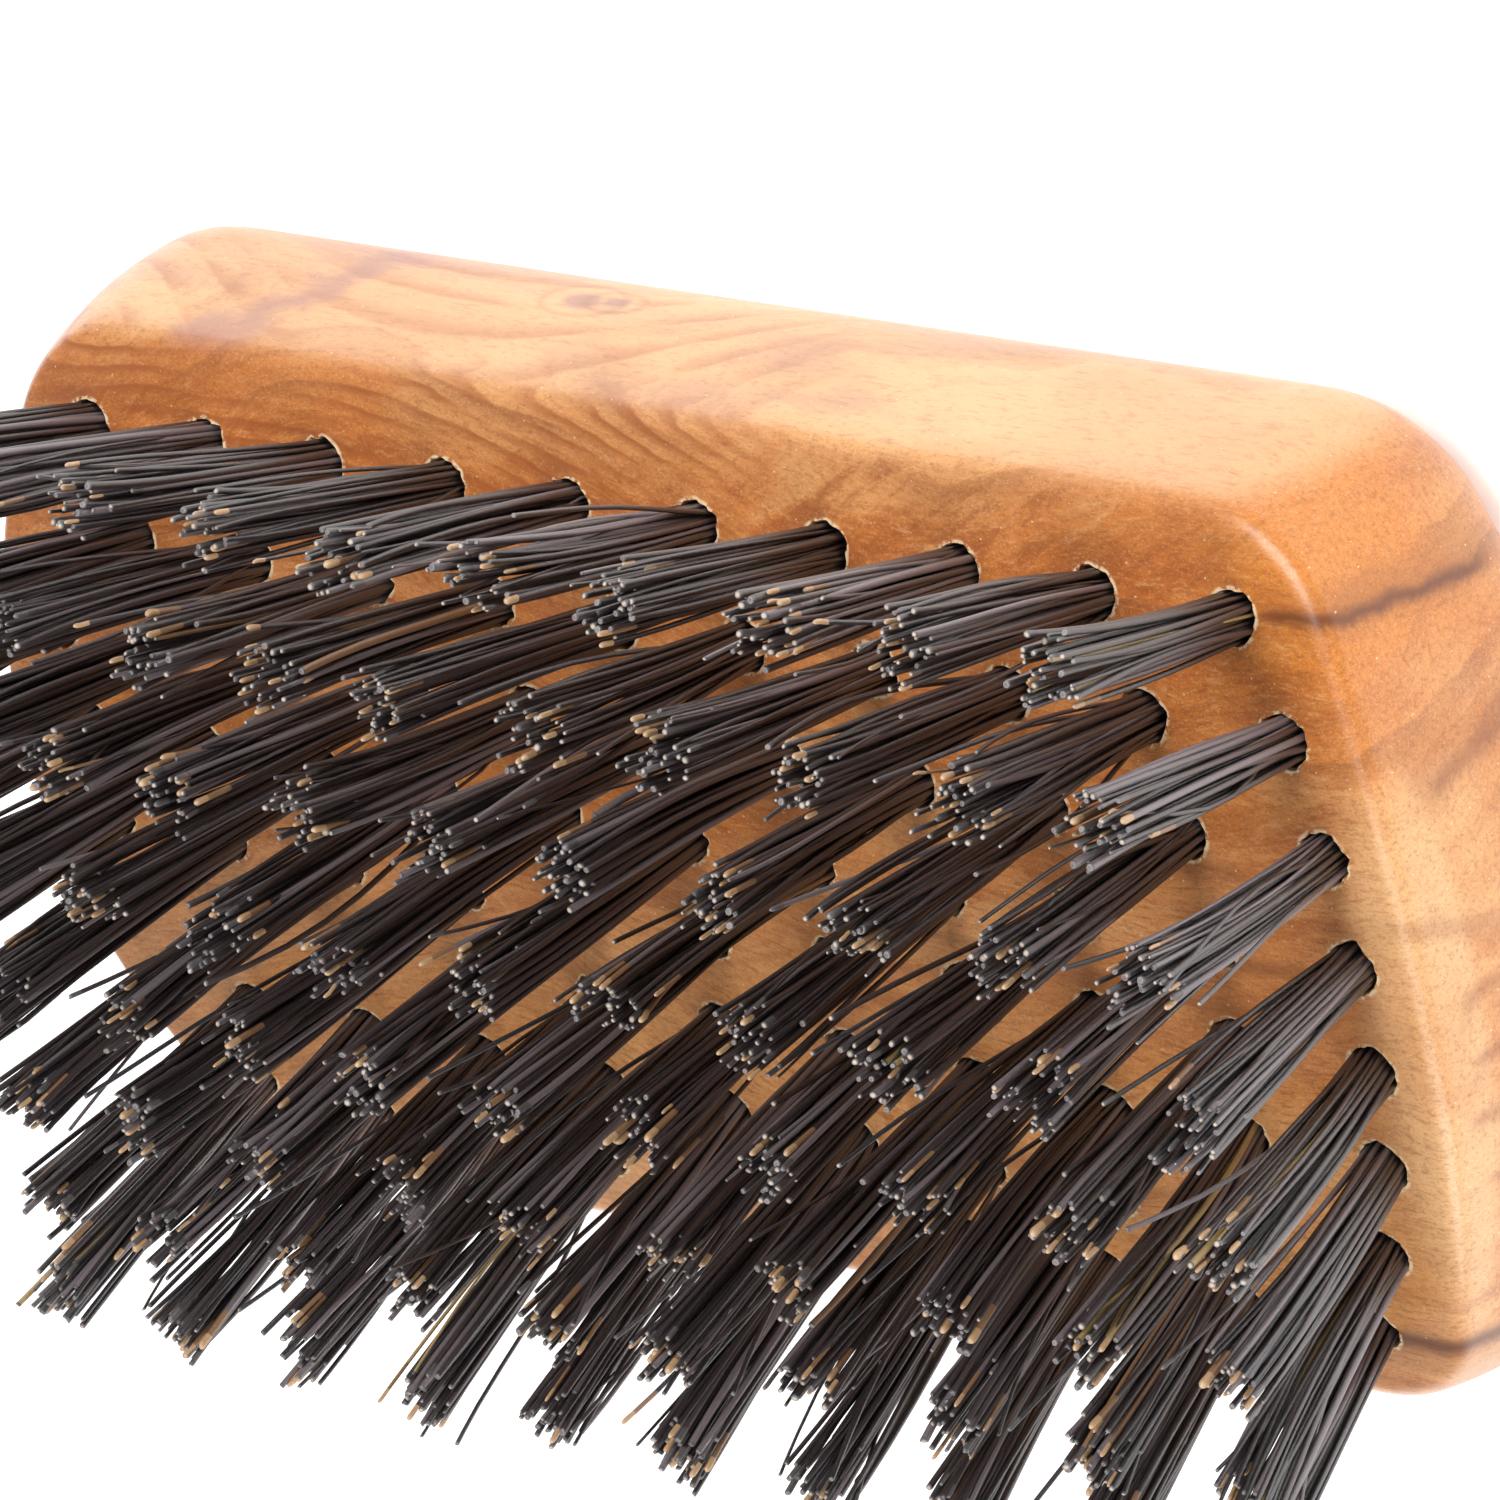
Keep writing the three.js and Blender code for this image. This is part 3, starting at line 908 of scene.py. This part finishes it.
    def tones(self, rings):
        """Which tone each face has: bands along each bristle, then its two ends."""
        rng = self.rng
        tone = rng.choice(len(TONE_ODDS), FOLDED_BRISTLES, p=TONE_ODDS)
        bands = np.repeat(tone[:, None], rings - 1, 1)
        ends = np.zeros((FOLDED_BRISTLES, 2), int)
        last = rings - 2
        for hair in range(FOLDED_BRISTLES):
            for side in (0, 1):
                steps = [0, 1, 2, 3, 4] if side == 0 else [last, last - 1, last - 2, last - 3, last - 4]
                amber = rng.random() < 0.75
                if self.rounded[hair + side * FOLDED_BRISTLES]:
                    bands[hair, steps[:4]] = TIP_AMBER if amber else TIP_GREY
                    if amber and rng.random() < 0.5:
                        bands[hair, steps[4]] = TAN
                    ends[hair, side] = TIP_CORE if amber else TIP_RIM
                else:
                    pale = rng.random() < 0.58
                    bands[hair, steps[0]] = TIP_RIM
                    bands[hair, steps[1:3]] = TIP_GREY
                    ends[hair, side] = TIP_CORE if pale else SLATE
                    if rng.random() < 0.10:
                        bands[hair, steps[3]] = TIP_GREY
        indices = []
        for band_tones, end_tones in zip(bands, ends):
            indices += np.repeat(band_tones, BRISTLE_SIDES).tolist() + end_tones.tolist()
        return indices


def tuft(row, number, mouth, axis, palette, leans):
    """One tuft: bristles folded in two round the anchor, packed in the hole, spreading to their cut ends."""
    along, across = sides(axis)
    made = Tuft(np.random.default_rng(SEED + 1000 * row + number), leans)
    skin = made.skin()
    rings = skin.shape[1]
    skin = skin.reshape(-1, 3)
    world = mouth + skin[:, :1] * along + skin[:, 1:2] * across + skin[:, 2:] * axis
    faces = tube_faces(FOLDED_BRISTLES, rings, BRISTLE_SIDES)
    return make_piece(f"bristles_row{row}_{number:02d}", world, faces, palette, made.tones(rings))


def anchor(row, number, mouth, axis, material):
    """The short flat wire that holds a tuft's folds down, its ends bitten into the wood."""
    along, across = sides(axis)
    length, thick, deep = ANCHOR_SIZE
    section = []
    for quarter, (cx, cz) in enumerate(((1, 1), (-1, 1), (-1, -1), (1, -1))):
        for step in range(3):
            t = (quarter + step / 2) * math.pi / 2
            u = cx * (thick / 2 - ANCHOR_CORNER) + ANCHOR_CORNER * math.cos(t)
            v = cz * (deep / 2 - ANCHOR_CORNER) + ANCHOR_CORNER * math.sin(t)
            section.append((u, v))
    section = np.array(section)
    # Where along the length, and how big the section is there.
    one_end = ((-0.5, 0.72), (-0.485, 0.95), (-0.30, 1.0))
    stations = (*one_end, (0.0, 1.0), *((-share, size) for share, size in reversed(one_end)))
    points = []
    for share, size in stations:
        sag = ANCHOR_SAG * (0.25 - share * share) * 4
        for u, v in section * size:
            points.append(mouth + along * u + across * (share * length) + axis * (v - ANCHOR_DEPTH - sag))
    faces = [face[::-1] for face in tube_faces(1, len(stations), len(section))]
    piece = make_piece(f"anchor_row{row}_{number:02d}", points, faces, [material])
    piece.data.set_sharp_from_angle(angle=ANCHOR_SHARP_ANGLE)
    return piece


def cad_node(row, number):
    """The CAD node that this tuft belongs to, and whether it leans on the next tuft."""
    pairs = PAIRS_OF_10 if TUFTS_IN_ROW[row - 1] == 10 else PAIRS_OF_11
    for a, b in pairs:
        if number in (a, b):
            return f"tuft_row{row}_{a}_and_{b}", number == a
    return f"tuft_row{row}_{number}", False


def place(piece, slot, *nodes):
    """Rides a piece on the CAD's one body, and hides the CAD nodes that it replaces. slot is not used."""
    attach(piece, "root")
    if nodes:
        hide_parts(*nodes)


# ---------------------------------------------------------------- the object

place(wood_body(olive_wood()), "wood", "wood_body")

palette = [bristle(*tone) for tone in TONES]
steel = anchor_steel()
for row, number, mouth, axis in tufts():
    node, leans = cad_node(row, number)
    place(tuft(row, number, mouth, axis, palette, leans), "bristle", node)
    place(anchor(row, number, mouth, axis, steel), "anchor")

# ---------------------------------------------------------------- floor, light and camera

FLOOR_REACH = 3000
floor_corners = [(x * FLOOR_REACH, y * FLOOR_REACH, 0) for x, y in ((-1, -1), (1, -1), (1, 1), (-1, 1))]
floor = make_piece("floor", floor_corners, [(0, 1, 2, 3)], [floor_paint()], smooth=False)

world = bpy.data.worlds.new("studio")
bpy.context.scene.world = world
world.use_nodes = True
world.node_tree.nodes["Background"].inputs["Color"].default_value = (1.0, 1.0, 1.0, 1.0)
world.node_tree.nodes["Background"].inputs["Strength"].default_value = 0.40

MIDDLE = (0.0, 0.0, 12.0)


def soft_light(name, position, size, power):
    """A white rectangle of light that points at the middle of the brush."""
    light = bpy.data.lights.new(name, "AREA")
    light.shape = "RECTANGLE"
    light.size, light.size_y = size[0] * MM, size[1] * MM
    light.energy = power
    lamp = bpy.data.objects.new(name, light)
    lamp.location = Vector(position) * MM
    lamp.rotation_mode = "QUATERNION"
    lamp.rotation_quaternion = (Vector(position) - Vector(MIDDLE)).to_track_quat("Z", "Y")
    bpy.context.scene.collection.objects.link(lamp)


soft_light("key", (40.0, 360.0, 420.0), (380.0, 260.0), 2.4)
soft_light("side", (260.0, -370.0, 250.0), (280.0, 280.0), 0.95)
soft_light("fill", (150.0, -120.0, 480.0), (400.0, 400.0), 1.1)

camera = bpy.data.objects.new("camera", bpy.data.cameras.new("camera"))
camera.data.lens = 226.8
camera.data.sensor_width = 36.0
camera.data.clip_start = 0.01
camera.data.clip_end = 20.0
right = Vector((0.7576, -0.2005, -0.6212))
up = Vector((-0.1422, 0.8781, -0.4568))
back = Vector((0.6370, 0.4344, 0.6367))
camera.rotation_mode = "QUATERNION"
camera.rotation_quaternion = Matrix((right, up, back)).transposed().to_quaternion()
camera.location = Vector((262.0, 182.2, 270.9)) * MM
bpy.context.scene.collection.objects.link(camera)
bpy.context.scene.camera = camera
bpy.context.scene.view_settings.view_transform = "Standard"
bpy.context.scene.view_settings.exposure = 0.0
